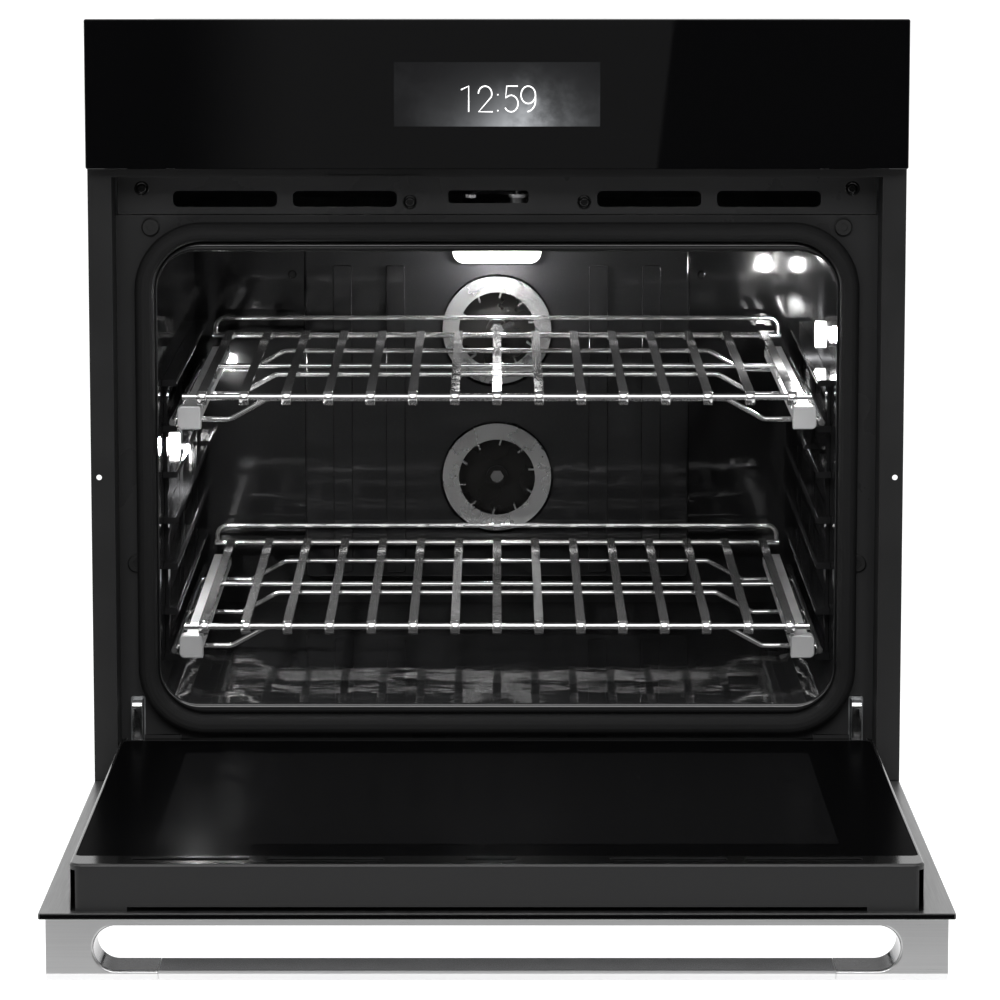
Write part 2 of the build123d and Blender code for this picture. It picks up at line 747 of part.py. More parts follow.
def rack_frame(name, z):
    """Fixed lower frame of a rack: side rods on the guides and crossbars that carry the rails."""
    low = z - FRAME_DROP
    bar_z = z - RAIL_DROP - RAIL_H / 2 - FRAME_ROD_R - 0.2
    side_low = 90.0
    side_high = RAIL_BACK_Y + 20
    frame = None
    for y in CROSSBAR_Y:
        bar = bent_rod(
            [
                (-FRAME_HALF, y, bar_z),
                (-CROSSBAR_BEND[1], y, bar_z),
                (-CROSSBAR_BEND[0], y, z - CROSSBAR_DROP),
                (CROSSBAR_BEND[0], y, z - CROSSBAR_DROP),
                (CROSSBAR_BEND[1], y, bar_z),
                (FRAME_HALF, y, bar_z),
            ],
            12,
            FRAME_ROD_R,
        )
        frame = bar if frame is None else frame + bar
    for x in (-FRAME_HALF, FRAME_HALF):
        frame += rod_y(x, side_low, side_high, low, ROD_R)
    for side in (-1, 1):
        for y in CROSSBAR_Y:
            top = z - RAIL_DROP - RAIL_H / 2
            x0, x1 = sorted((side * (RAIL_X - 5), side * (RAIL_X + 5)))
            frame += block(x0, x1, y - 8, y + 8, bar_z, top)
    save(f"{name}_rack_frame", frame)


# ---------------------------------------------------------------- latch and blower


def sector(radius, start, end):
    """Flat pie slice about the latch pivot; degrees run from -X towards the front."""
    steps = 12
    points = [(0.0, 0.0)]
    for number in range(steps + 1):
        turn = math.radians(start + (end - start) * number / steps)
        points.append((-2 * radius * math.cos(turn), -2 * radius * math.sin(turn)))
    return make_face(Polyline(*points, close=True))


def latch():
    """Self-clean latch: a sickle hook on an upright pin, and its motor box."""
    x, y = LATCH_PIVOT
    inner, outer = LATCH_R
    ring = Circle(outer) - Circle(inner)
    arc = ring & sector(outer, -70, 10)
    tip = Pos(-inner * math.cos(math.radians(10)), -inner * math.sin(math.radians(10)))
    arc += tip * Circle(4)
    spoke = Circle(outer - 1) & sector(outer, -70, -58)
    outline = arc + spoke + Circle(LATCH_PIN_R + 6) - Circle(LATCH_PIN_R + RUNNING)
    low = STRIKE_Z - LATCH_T / 2
    hook = Pos(x, y, low) * extrude(outline, amount=LATCH_T)
    save("latch_hook", hook)
    box_top = STRIKE_Z - LATCH_SLOT_H / 2 - 1
    box_low = FRAME_TOP_Z + 2
    motor = block(x - 22, x + 45, FRAME_Y + SHEET, y + 40, box_low, box_top)
    motor += post(x, y, box_top, low - 0.4, LATCH_PIN_R + 5)
    motor += post(x, y, box_top, low + LATCH_T + 3, LATCH_PIN_R)
    save("latch_motor", motor)


def blower():
    """Cooling fan above the cavity that blows out through the vent trim."""
    top = BLOWER_LOW + BLOWER_H
    housing = post(0, BLOWER_Y, BLOWER_LOW, top, BLOWER_R)
    duct = block(-70, 70, 150, BLOWER_Y, BLOWER_LOW, top)
    inside = post(0, BLOWER_Y, BLOWER_LOW + SHEET, top - SHEET, BLOWER_R - SHEET)
    inside += block(
        -70 + SHEET, 70 - SHEET, 140, BLOWER_Y, BLOWER_LOW + SHEET, top - SHEET
    )
    shell = housing + duct - inside
    shell -= post(0, BLOWER_Y, top - 5, top + 5, 38)
    shell -= post(0, BLOWER_Y, BLOWER_LOW - 5, BLOWER_LOW + 5, SHAFT_R + FIT)
    save("blower_housing", shell)
    low = BLOWER_LOW + SHEET + 3
    high = top - SHEET - 3
    wheel = post(0, BLOWER_Y, low, low + 1.2, BLOWER_WHEEL_R)
    wheel += post(0, BLOWER_Y, low, low + 14, 9)
    rim = post(0, BLOWER_Y, high - 2, high, BLOWER_WHEEL_R)
    wheel += rim - post(0, BLOWER_Y, high - 5, high + 5, BLOWER_WHEEL_R - 12)
    for number in range(BLOWER_BLADES):
        blade = block(BLOWER_WHEEL_R - 12, BLOWER_WHEEL_R - 0.5, -0.6, 0.6, low, high)
        spin = Pos(0, BLOWER_Y, 0) * Rot(Z=360 * number / BLOWER_BLADES)
        wheel += spin * (Pos(0, 6, 0) * blade)
    wheel -= post(0, BLOWER_Y, low - 1, low + 12, SHAFT_R + RUNNING)
    save("blower_wheel", wheel)
    motor = post(0, BLOWER_Y, BLOWER_LOW - 30, BLOWER_LOW, 34)
    motor += post(0, BLOWER_Y, BLOWER_LOW, low + 10, SHAFT_R)
    motor -= post(0, BLOWER_Y, BLOWER_LOW - 40, BLOWER_LOW - 20, 12)
    save("blower_motor", motor)


# ---------------------------------------------------------------- control panel

def control_panel():
    """Glass front, its tray and the display module behind the glass."""
    back = FRONT_Y + GLASS_T
    glass = rounded(-HALF, HALF, FRONT_Y, back, PANEL_Z, HEIGHT, 2)
    glass = chamfer(glass.edges().group_by(Axis.Y)[0], 0.6)
    save("control_panel_glass", glass)
    edge = TRAY_INSET
    tray = block(-HALF + edge, HALF - edge, back, 0, PANEL_Z + edge, HEIGHT - edge)
    tray -= block(
        -HALF + edge + SHEET,
        HALF - edge - SHEET,
        back - 1,
        -SHEET,
        PANEL_Z + edge + SHEET,
        HEIGHT - edge - SHEET,
    )
    save("control_panel_tray", tray)
    middle = (PANEL_Z + HEIGHT) / 2
    display = rounded(
        -LCD_W / 2, LCD_W / 2, back, back + 7, middle - LCD_H / 2, middle + LCD_H / 2, 2
    )
    board = block(-LCD_W / 2 - 20, LCD_W / 2 + 20, back + 7, back + 9, middle - 36, middle + 36)
    save("display_module", display + board)


# ---------------------------------------------------------------- door

def door_panels():
    """Outer glass, steel skin, liner box and inner glass."""
    top = PANEL_Z - DOOR_TOP_GAP
    skin_front = FRONT_Y + GLASS_T
    glass = rounded(-HALF, HALF, FRONT_Y, skin_front, DOOR_LOW, top, 2)
    glass = chamfer(glass.edges().group_by(Axis.Y)[0], 0.6)
    save("door_outer_glass", opened(glass))
    skin = block(-HALF + 1, HALF - 1, skin_front, skin_front + SKIN_T, DOOR_LOW + 1, top - 1)
    skin -= rounded(
        -WINDOW_HALF, WINDOW_HALF, skin_front - 5, skin_front + 5, *WINDOW_Z, 8
    )
    save("door_skin", opened(skin))
    save("door_liner", opened(door_liner(skin_front + SKIN_T)))
    half = DOOR_BOX_HALF - GLASS_EDGE - FIT
    inner = rounded(
        -half,
        half,
        LINER_BACK - GLASS_T,
        LINER_BACK - 0.4,
        INNER_LOW + FIT,
        INNER_HIGH - FIT,
        6,
    )
    save("door_inner_glass", opened(inner))


def door_liner(front):
    """Folded box of the door's inner side, with its window, vents and strike slot."""
    half = DOOR_BOX_HALF
    box = block(-half, half, front, LINER_BACK, LINER_LOW, LINER_TOP)
    box = fillet(box.edges().filter_by(Axis.Y), BOX_CORNER)
    box = fillet(box.edges().group_by(Axis.Y)[-1], BOX_EDGE)
    seat = LINER_BACK - GLASS_T
    box -= block(
        -half + SHEET,
        half - SHEET,
        front - 1,
        seat - SHEET,
        LINER_LOW + SHEET,
        LINER_TOP - SHEET,
    )
    box -= block(
        -half + 9,
        half - 9,
        seat - SHEET - 1,
        LINER_BACK - SHEET,
        INNER_HIGH + SHEET,
        LINER_TOP - SHEET - 2,
    )
    box -= rounded(
        -half + GLASS_EDGE,
        half - GLASS_EDGE,
        seat,
        LINER_BACK + 5,
        INNER_LOW,
        INNER_HIGH,
        6,
    )
    box -= rounded(-WINDOW_HALF, WINDOW_HALF, seat - 9, seat + 5, *WINDOW_Z, 8)
    for x in VENT_CENTRES:
        low = VENT_Z - 3
        box -= rounded(
            x - VENT_L / 2, x + VENT_L / 2, seat - 5, LINER_BACK + 5, low, low + 11, 4
        )
    strike_low = STRIKE_Z - 5
    box -= rounded(*STRIKE_SLOT, seat - 5, LINER_BACK + 5, strike_low, strike_low + 10, 3)
    box -= block(-RIM_HALF, RIM_HALF, front - 1, front + RIM_T, LINER_TOP - 5, LINER_TOP + 5)
    for side in (-1, 1):
        x0, x1 = sorted(side * x for x in RIDGE_X)
        box += block(x0, x1, LINER_BACK - 3, LINER_BACK + RIDGE_RISE, LINER_LOW, LINER_LOW + 4)
    wide = CHANNEL_W / 2 + FIT
    for x in (-HINGE_X, HINGE_X):
        box -= block(x - wide, x + wide, front + 15, LINER_BACK + 5, LINER_LOW - 5, CHANNEL_NOTCH)
    return box


def hinges():
    """Door channels with their pins, the chassis arms and the receivers they hook into."""
    x = HINGE_X
    half = CHANNEL_W / 2
    front = 0.5
    back = LINER_BACK - GLASS_T - SHEET - FIT
    cheek = block(x - half, x + half, front, back, HINGE_Z - 6, CHANNEL_TOP)
    cheek -= block(
        x - half + CHANNEL_T, x + half - CHANNEL_T, front + CHANNEL_T, back + 1, 0, CHANNEL_TOP + 5
    )
    pin = rod_x(x - half, x + half, HINGE_Y, HINGE_Z, HINGE_PIN_R)
    save("hinge_channels", opened(both(cheek + pin)))
    radius = ARM_H / 2
    side = ARM_W / 2
    low = HINGE_Z - radius
    arm = rod_x(x - side, x + side, HINGE_Y, HINGE_Z, radius)
    arm += block(x - side, x + side, HINGE_Y, LINK_Y[1], low, HINGE_Z + radius)
    link = block(x - side, x + side, *LINK_Y, low, LINK_TOP)
    arm += fillet(link.edges().filter_by(Axis.X).group_by(Axis.Z)[-1].sort_by(Axis.Y)[0], 6)
    arm += block(x - side, x + side, LINK_Y[1], ARM_BACK, HOOK_LOW, LINK_TOP)
    inner = side - 1.8
    arm -= block(x - inner, x + inner, LINK_Y[0] - 5, LINK_Y[1] - 3, HINGE_Z + 9, LINK_TOP - 7)
    arm -= rod_x(x - 20, x + 20, HINGE_Y, HINGE_Z, HINGE_PIN_R + RUNNING)
    save("hinge_arm_right", arm)
    save("hinge_arm_left", mirrored(arm))
    wide = side + FIT
    wall = 2.0
    front = FRAME_Y + SHEET
    box = block(x - wide - wall, x + wide + wall, front, ARM_BACK, low - wall, LINK_TOP + wall)
    box -= block(x - wide, x + wide, front - 5, ARM_BACK + 5, low, LINK_TOP)
    save("hinge_receivers", both(box))


def handle_profile(x0, x1):
    """Solid length of the handle's outer bar with bevelled long edges."""
    low, high = HANDLE_Z
    face = FRONT_Y - HANDLE_BASE - HANDLE_GAP
    bar = block(x0, x1, face - HANDLE_BAR, face, low, high)
    return chamfer(bar.edges().filter_by(Axis.X).group_by(Axis.Y)[0], HANDLE_BEVEL, 7.0)


def handle():
    """Two cast ends, a middle grip and the hollow rail they stand on."""
    low, high = HANDLE_Z
    base_y = FRONT_Y - HANDLE_BASE
    far = base_y - HANDLE_GAP
    wall = HANDLE_WALL
    strip = block(-HALF, HALF, base_y, FRONT_Y, low, high)
    strip -= block(
        -HALF + wall, HALF - wall, base_y + wall, FRONT_Y + 1, low + wall, high - wall
    )
    save("handle_base_strip", opened(strip))
    end = handle_profile(HANDLE_SEAM, HALF) + block(HANDLE_SEAM, HALF, far, base_y, low, high)
    middle = (far + base_y) / 2
    opening = SlotOverall(2 * HANDLE_OPENING, HANDLE_GAP)
    end -= Pos(0, middle, low - 1) * extrude(opening, amount=high - low + 2)
    rim = end.edges().group_by(Axis.Z)[-1]
    rim = rim.filter_by(lambda edge: abs(edge.center().Y - middle) < HANDLE_GAP / 2 + 0.1)
    rim = rim.filter_by(lambda edge: HANDLE_SEAM < edge.center().X < HANDLE_OPENING + 0.1)
    end = fillet(rim, HANDLE_RIM)
    save("handle_end_right", opened(end))
    save("handle_end_left", mirrored(opened(end)))
    grip = handle_profile(-HANDLE_SEAM + 0.3, HANDLE_SEAM - 0.3)
    save("handle_grip", opened(grip))


def main():
    os.makedirs("parts", exist_ok=True)
    chassis()
    conduit_gland()
    side_trims()
    bottom_trim()
    upper_cross_trim()
    front_frame()
    frame_bumpers()
    vent_trim()
    trim_screws()
    door_gasket()
    cavity_liner()
    cavity_back()
    rack_guides()
    convection_baffle()
    baffle_screws()
    broil_element()
    lamps()
    for name, z in FAN_Z.items():
        fan(name, z)
    for name, z in rack_levels().items():
        shelf(name, z)
        rails(name, z)
        rack_frame(name, z)
    latch()
    blower()
    control_panel()
    door_panels()
    hinges()
    handle()


main()
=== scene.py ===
import json
import math

import bmesh
import bpy
from mathutils import Matrix, Vector


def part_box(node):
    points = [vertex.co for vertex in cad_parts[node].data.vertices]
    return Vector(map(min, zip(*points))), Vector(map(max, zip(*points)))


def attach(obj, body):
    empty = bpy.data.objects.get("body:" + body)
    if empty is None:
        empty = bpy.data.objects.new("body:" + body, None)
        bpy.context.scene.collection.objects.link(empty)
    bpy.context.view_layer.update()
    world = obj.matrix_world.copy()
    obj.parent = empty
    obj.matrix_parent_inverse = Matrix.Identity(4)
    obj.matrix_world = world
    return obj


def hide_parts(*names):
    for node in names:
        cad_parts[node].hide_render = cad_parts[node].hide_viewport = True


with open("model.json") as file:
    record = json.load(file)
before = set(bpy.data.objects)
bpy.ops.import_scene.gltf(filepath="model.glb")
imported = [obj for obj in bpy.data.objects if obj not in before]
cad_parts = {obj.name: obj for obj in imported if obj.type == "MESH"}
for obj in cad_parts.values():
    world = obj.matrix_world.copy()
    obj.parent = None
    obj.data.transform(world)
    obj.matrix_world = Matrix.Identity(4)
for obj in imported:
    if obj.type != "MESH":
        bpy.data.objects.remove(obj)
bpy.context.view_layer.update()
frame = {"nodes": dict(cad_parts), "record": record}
NODES = frame["nodes"]
SCENE = bpy.context.scene


# ------------------------------------------------------------------ camera, light and floor

FLOOR_Z = -0.50
FLOOR_HALF = 40.0
FLOOR_Y = (-2.6, 60.0)

CAMERA_PLACE = (0.0, -4.195, 0.9624)
CAMERA_DIP = 7.935
CAMERA_LENS = 164.1
CAMERA_SHIFT = (0.003, -0.1)

SOFTBOXES = [
    ("softbox_top", (0.0, -0.9, 3.2), (0.0, -0.2, 0.2), (3.0, 1.6), 38),
    ("softbox_front", (0.0, -3.6, 2.5), (0.0, 0.1, 0.25), (2.6, 1.0), 55),
    ("softbox_left", (-3.0, -1.6, 1.6), (0.0, -0.2, 0.2), (1.2, 2.4), 20),
    ("softbox_right", (3.0, -1.6, 1.6), (0.0, -0.2, 0.2), (1.2, 2.4), 16),
]
LAMPS = [
    ("oven_lamp_rear", 0.0, 0.520, 0.462),
    ("oven_lamp_left", -0.300, 0.250, 0.2975),
    ("oven_lamp_right", 0.300, 0.250, 0.408),
]
LAMP_POWER = 1.7
LAMP_RADIUS = 0.008

WORLD_DARK = 0.025
WORLD_BEHIND = (-0.55, 0.05)
WORLD_ABOVE = (0.22, 0.62)

PANEL_GLARE = 0.15
PANEL_GLARE_EDGE = 0.0456
PANEL_GLARE_SLANT = 0.112
PANEL_GLARE_SOFT = (0.0, 0.0012)
PANEL_GLARE_LEFT = (-0.072, -0.042)
PANEL_GLARE_LOW = (-0.16, -0.13)
PANEL_GLARE_HIGH = (-0.02, 0.10)


def aim(obj, target):
    """Points a light at a place."""
    obj.rotation_euler = (Vector(target) - obj.location).to_track_quat("-Z", "Y").to_euler()


def make_camera():
    """Long lens from the front, looking a little down."""
    data = bpy.data.cameras.new("camera")
    camera = bpy.data.objects.new("camera", data)
    SCENE.collection.objects.link(camera)
    camera.location = CAMERA_PLACE
    camera.rotation_euler = (math.radians(90 - CAMERA_DIP), 0.0, 0.0)
    data.lens = CAMERA_LENS
    data.sensor_width = 36.0
    data.shift_x, data.shift_y = CAMERA_SHIFT
    data.clip_end = 200.0
    SCENE.camera = camera


def area_light(name, place, target, size, power):
    """One softbox."""
    data = bpy.data.lights.new(name, "AREA")
    data.shape = "RECTANGLE"
    data.size = size[0]
    data.size_y = size[1]
    data.energy = power
    light = bpy.data.objects.new(name, data)
    SCENE.collection.objects.link(light)
    light.location = place
    aim(light, target)


def make_lights():
    """Soft studio boxes high at the front and sides, and the oven's own lamps."""
    for box in SOFTBOXES:
        area_light(*box)
    for name, x, y, z in LAMPS:
        data = bpy.data.lights.new(name, "POINT")
        data.energy = LAMP_POWER
        data.shadow_soft_size = LAMP_RADIUS
        lamp = bpy.data.objects.new(name, data)
        SCENE.collection.objects.link(lamp)
        lamp.location = (x, y, z)


def make_world():
    """White surroundings, with a dark wall low in front and one softbox for the black glass."""
    world = bpy.data.worlds.new("world")
    SCENE.world = world
    world.use_nodes = True
    nodes, links = world.node_tree.nodes, world.node_tree.links
    nodes.clear()

    def math_node(kind, a, b, c=None):
        node = nodes.new("ShaderNodeMath")
        node.operation = kind
        for socket, value in zip(node.inputs, (a, b, c)):
            if isinstance(value, (int, float)):
                socket.default_value = value
            elif value is not None:
                links.new(value, socket)
        return node.outputs[0]

    def soft_step(value, start, end):
        node = nodes.new("ShaderNodeMapRange")
        node.interpolation_type = "SMOOTHSTEP"
        node.inputs["From Min"].default_value = start
        node.inputs["From Max"].default_value = end
        links.new(value, node.inputs["Value"])
        return node.outputs["Result"]

    out = nodes.new("ShaderNodeOutputWorld")
    background = nodes.new("ShaderNodeBackground")
    place = nodes.new("ShaderNodeTexCoord")
    split = nodes.new("ShaderNodeSeparateXYZ")
    links.new(place.outputs["Generated"], split.inputs[0])
    x, y, z = split.outputs
    behind = soft_step(y, *WORLD_BEHIND)
    above = soft_step(z, *WORLD_ABOVE)
    white = math_node("MAXIMUM", behind, above)
    ahead = math_node("MAXIMUM", math_node("MULTIPLY", y, -1.0), 0.001)
    across = math_node("DIVIDE", x, ahead)
    rise = math_node("DIVIDE", z, ahead)
    edge = math_node("MULTIPLY_ADD", rise, PANEL_GLARE_SLANT, PANEL_GLARE_EDGE)
    inside = soft_step(math_node("SUBTRACT", edge, across), *PANEL_GLARE_SOFT)
    fade = soft_step(across, *PANEL_GLARE_LEFT)
    low = soft_step(rise, *PANEL_GLARE_LOW)
    high = math_node("SUBTRACT", 1.0, soft_step(rise, *PANEL_GLARE_HIGH))
    sides = math_node("MULTIPLY", inside, fade)
    ends = math_node("MULTIPLY", low, high)
    glare = math_node("MULTIPLY", math_node("MULTIPLY", sides, ends), PANEL_GLARE)
    level = math_node("ADD", math_node("MAXIMUM", white, glare), WORLD_DARK)
    links.new(level, background.inputs["Strength"])
    links.new(background.outputs[0], out.inputs["Surface"])
    background.inputs["Color"].default_value = (1, 1, 1, 1)


def flat_corners(half, near, far, z):
    """Corners of a level rectangle centred left to right."""
    return [(-half, near, z), (half, near, z), (half, far, z), (-half, far, z)]


def make_floor():
    """Wide pale floor that stops short of the front, where the black glass would mirror it."""
    mesh = bpy.data.meshes.new("floor")
    mesh.from_pydata(flat_corners(FLOOR_HALF, *FLOOR_Y, FLOOR_Z), [], [(0, 1, 2, 3)])
    floor = bpy.data.objects.new("floor", mesh)
    SCENE.collection.objects.link(floor)
    mat = Material("floor_pale", (0.90, 0.90, 0.90), roughness=0.9)
    mat.tint(mat.noise(0.7, detail=2.0), 0.01)
    mat.set("Emission Color", (1.0, 1.0, 1.0, 1.0))
    mat.set("Emission Strength", 0.26)
    floor.data.materials.append(mat.material)


# ------------------------------------------------------------------ material helpers

class Material:
    """A Principled material with small helpers for procedural detail."""

    def __init__(self, name, color, roughness=0.5, metallic=0.0, **sockets):
        self.material = bpy.data.materials.new(name)
        self.material.use_nodes = True
        tree = self.material.node_tree
        self.nodes, self.links = tree.nodes, tree.links
        self.shader = self.nodes["Principled BSDF"]
        self.color = color
        self.set("Base Color", (*color, 1.0))
        self.set("Roughness", roughness)
        self.set("Metallic", metallic)
        for socket, value in sockets.items():
            self.set(socket.replace("_", " "), value)
        self.coords = self.nodes.new("ShaderNodeTexCoord").outputs["Object"]
        self.normal = None

    def set(self, socket, value):
        self.shader.inputs[socket].default_value = value

    def mapped(self, scale=(1, 1, 1), rotation=(0, 0, 0)):
        node = self.nodes.new("ShaderNodeMapping")
        node.inputs["Scale"].default_value = scale
        node.inputs["Rotation"].default_value = rotation
        self.links.new(self.coords, node.inputs["Vector"])
        return node.outputs["Vector"]

    def axis(self, name):
        """One coordinate of the place on the part."""
        node = self.nodes.new("ShaderNodeSeparateXYZ")
        self.links.new(self.coords, node.inputs[0])
        return node.outputs[name]

    def noise(self, scale, detail=4.0, rough=0.5, vector=None):
        node = self.nodes.new("ShaderNodeTexNoise")
        node.inputs["Scale"].default_value = scale
        node.inputs["Detail"].default_value = detail
        node.inputs["Roughness"].default_value = rough
        self.links.new(vector or self.coords, node.inputs["Vector"])
        return node.outputs["Fac"]

    def wave(self, scale, axis="X", vector=None, distortion=0.0, profile="SIN"):
        node = self.nodes.new("ShaderNodeTexWave")
        node.bands_direction = axis
        node.wave_profile = profile
        node.inputs["Scale"].default_value = scale
        node.inputs["Distortion"].default_value = distortion
        self.links.new(vector or self.coords, node.inputs["Vector"])
        return node.outputs["Fac"]

    def ramp(self, value, low, high, start=0.3, end=0.7):
        """Maps a value between two numbers."""
        node = self.nodes.new("ShaderNodeMapRange")
        node.inputs["From Min"].default_value = start
        node.inputs["From Max"].default_value = end
        node.inputs["To Min"].default_value = low
        node.inputs["To Max"].default_value = high
        self.links.new(value, node.inputs["Value"])
        return node.outputs["Result"]

    def math(self, kind, a, b):
        node = self.nodes.new("ShaderNodeMath")
        node.operation = kind
        for socket, value in zip(node.inputs, (a, b)):
            if isinstance(value, (int, float)):
                socket.default_value = value
            else:
                self.links.new(value, socket)
        return node.outputs[0]

    def rough(self, value, low, high):
        """Roughness that varies between two numbers."""
        self.links.new(self.ramp(value, low, high), self.shader.inputs["Roughness"])

    def blend(self, value, other):
        """Colour that turns to another where the value is high."""
        node = self.nodes.new("ShaderNodeMix")
        node.data_type = "RGBA"
        node.inputs["A"].default_value = (*self.color, 1.0)
        node.inputs["B"].default_value = (*other, 1.0)
        self.links.new(value, node.inputs["Factor"])
        self.links.new(node.outputs["Result"], self.shader.inputs["Base Color"])

    def tint(self, value, amount):
        """Small light and dark variation of the base colour."""
        low = tuple(c * (1 - amount) for c in self.color)
        high = tuple(min(1.0, c * (1 + amount)) for c in self.color)
        self.color = low
        self.blend(self.ramp(value, 0.0, 1.0), high)

    def bump(self, height, strength, distance=0.001):
        node = self.nodes.new("ShaderNodeBump")
        node.inputs["Strength"].default_value = strength
        node.inputs["Distance"].default_value = distance
        self.links.new(height, node.inputs["Height"])
        if self.normal is not None:
            self.links.new(self.normal, node.inputs["Normal"])
        self.normal = node.outputs["Normal"]
        self.links.new(self.normal, self.shader.inputs["Normal"])


# ------------------------------------------------------------------ materials

def black_glass():
    """Polished black ceramic-backed glass with faint wipe marks."""
    mat = Material("black_glass", (0.0013, 0.0013, 0.0015), roughness=0.012, IOR=1.5)
    smear = mat.noise(9.0, detail=3.0, vector=mat.mapped((1.0, 1.0, 3.5), (0, 0.4, 0)))
    mat.rough(smear, 0.006, 0.016)
    mat.tint(mat.noise(4.0), 0.12)
    return mat.material


WINDOW_HALF = 0.2875
WINDOW_NEAR = 0.0480
WINDOW_FAR = 0.0570


def window_glass():
    """Dark heat-reflecting inner glass; its printed border is blacker than the window."""
    mat = Material("window_glass", (0.0012, 0.0012, 0.0013), roughness=0.22, IOR=1.015)
    mat.rough(mat.noise(7.0, detail=3.0), 0.18, 0.26)
    low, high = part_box("door_inner_glass")
    away = mat.math("ABSOLUTE", mat.axis("X"), 0.0)
    inside_x = mat.math("LESS_THAN", away, WINDOW_HALF)
    after = mat.math("GREATER_THAN", mat.axis("Y"), low.y + WINDOW_NEAR)
    before = mat.math("LESS_THAN", mat.axis("Y"), high.y - WINDOW_FAR)
    window = mat.math("MULTIPLY", inside_x, mat.math("MULTIPLY", after, before))
    mottle = mat.ramp(mat.noise(260.0, detail=3.0), 0.6, 1.0, 0.35, 0.65)
    mat.blend(mat.math("MULTIPLY", window, mottle), (0.0042, 0.0042, 0.0044))
    return mat.material


def satin_black(name, level, rough_low, rough_high, specular=0.5):
    """Powder coat or satin enamel on sheet steel."""
    mat = Material(name, (level, level, level * 1.02), roughness=rough_low, Specular_IOR_Level=specular)
    mat.rough(mat.noise(14.0, detail=5.0), rough_low, rough_high)
    mat.tint(mat.noise(6.0), 0.10)
    mat.bump(mat.noise(900.0, detail=2.0), 0.08, 0.0002)
    return mat.material


def oven_enamel():
    """Glossy black porcelain enamel with fine grey flecks and a slow waviness."""
    mat = Material("oven_enamel", (0.0150, 0.0150, 0.0155), roughness=0.05, IOR=1.5)
    flecks = mat.ramp(mat.noise(1500.0, detail=1.0), 0.0, 1.0, 0.70, 0.76)
    mat.blend(flecks, (0.045, 0.045, 0.047))
    mat.rough(mat.noise(20.0, detail=4.0), 0.03, 0.08)
    mat.bump(mat.noise(24.0, detail=2.0), 0.22, 0.0012)
    return mat.material


def brushed(name, level, rough, axis="X", grain=0.05):
    """Brushed metal: fine scratches along one axis."""
    stretch = {"X": (6.0, 900.0, 900.0), "Y": (900.0, 6.0, 900.0), "Z": (900.0, 900.0, 6.0)}[axis]
    mat = Material(name, (level, level, level * 1.005), roughness=rough, metallic=1.0)
    scratches = mat.noise(1.0, detail=4.0, rough=0.6, vector=mat.mapped(stretch))
    mat.rough(scratches, rough * 0.85, rough * 1.2)
    mat.tint(scratches, 0.04)
    mat.bump(scratches, grain, 0.0001)
    return mat.material


def plated_rod():
    """Bright nickel-chrome plating with light heat bloom."""
    mat = Material("plated_rod", (0.82, 0.82, 0.825), roughness=0.12, metallic=0.85)
    mat.rough(mat.noise(60.0, detail=4.0), 0.05, 0.16)
    mat.blend(mat.ramp(mat.noise(11.0), 0.0, 0.6), (0.58, 0.57, 0.56))
    mat.bump(mat.noise(260.0, detail=2.0), 0.05, 0.0003)
    return mat.material


def cast_zinc():
    """Satin plated rails and their end blocks."""
    mat = Material("cast_zinc", (0.62, 0.62, 0.625), roughness=0.38, metallic=0.35)
    mat.rough(mat.noise(40.0), 0.32, 0.44)
    mat.tint(mat.noise(25.0, detail=3.0), 0.05)
    return mat.material


FAN_PLATE_BACK = 0.5510


def fan_steel():
    """Bright annular plate, with the blades and everything else behind its front face coloured near
    black.
    """
    mat = Material("fan_steel", (0.55, 0.55, 0.55), roughness=0.28, metallic=0.8)
    behind = mat.ramp(mat.axis("Y"), 0.0, 1.0, FAN_PLATE_BACK, FAN_PLATE_BACK + 0.002)
    mat.blend(behind, (0.035, 0.034, 0.033))
    mat.rough(mat.noise(30.0), 0.22, 0.34)
    return mat.material


def zinc_sheet():
    """Galvanised sheet with soft spangle."""
    mat = Material("zinc_sheet", (0.46, 0.47, 0.48), roughness=0.42, metallic=1.0)
    cells = mat.nodes.new("ShaderNodeTexVoronoi")
    cells.inputs["Scale"].default_value = 55.0
    mat.links.new(mat.coords, cells.inputs["Vector"])
    mat.tint(mat.ramp(cells.outputs["Distance"], 0.3, 0.7, 0.0, 1.0), 0.22)
    mat.rough(cells.outputs["Distance"], 0.36, 0.52)
    mat.bump(mat.noise(3.0, detail=2.0), 0.10, 0.002)
    return mat.material


def heater_sheath():
    """Heat-darkened sheath of a heating rod."""
    mat = Material("heater_sheath", (0.055, 0.052, 0.050), roughness=0.45, metallic=0.7)
    mat.blend(mat.ramp(mat.noise(30.0), 0.0, 0.8), (0.10, 0.085, 0.075))
    mat.bump(mat.noise(700.0), 0.15, 0.0003)
    return mat.material


def lamp_glass():
    """Lit frosted lens."""
    mat = Material("lamp_glass", (0.95, 0.95, 0.93), roughness=0.25)
    mat.set("Emission Color", (1.0, 0.99, 0.97, 1.0))
    mat.set("Emission Strength", 7.0)
    mat.tint(mat.noise(120.0), 0.05)
    return mat.material


def moulded(name, level, rough):
    """Moulded plastic or rubber with a fine grain."""
    mat = Material(name, (level, level, level), roughness=rough)
    mat.rough(mat.noise(200.0), rough * 0.85, min(1.0, rough * 1.15))
    mat.tint(mat.noise(20.0), 0.12)
    mat.bump(mat.noise(1600.0), 0.20, 0.0002)
    return mat.material


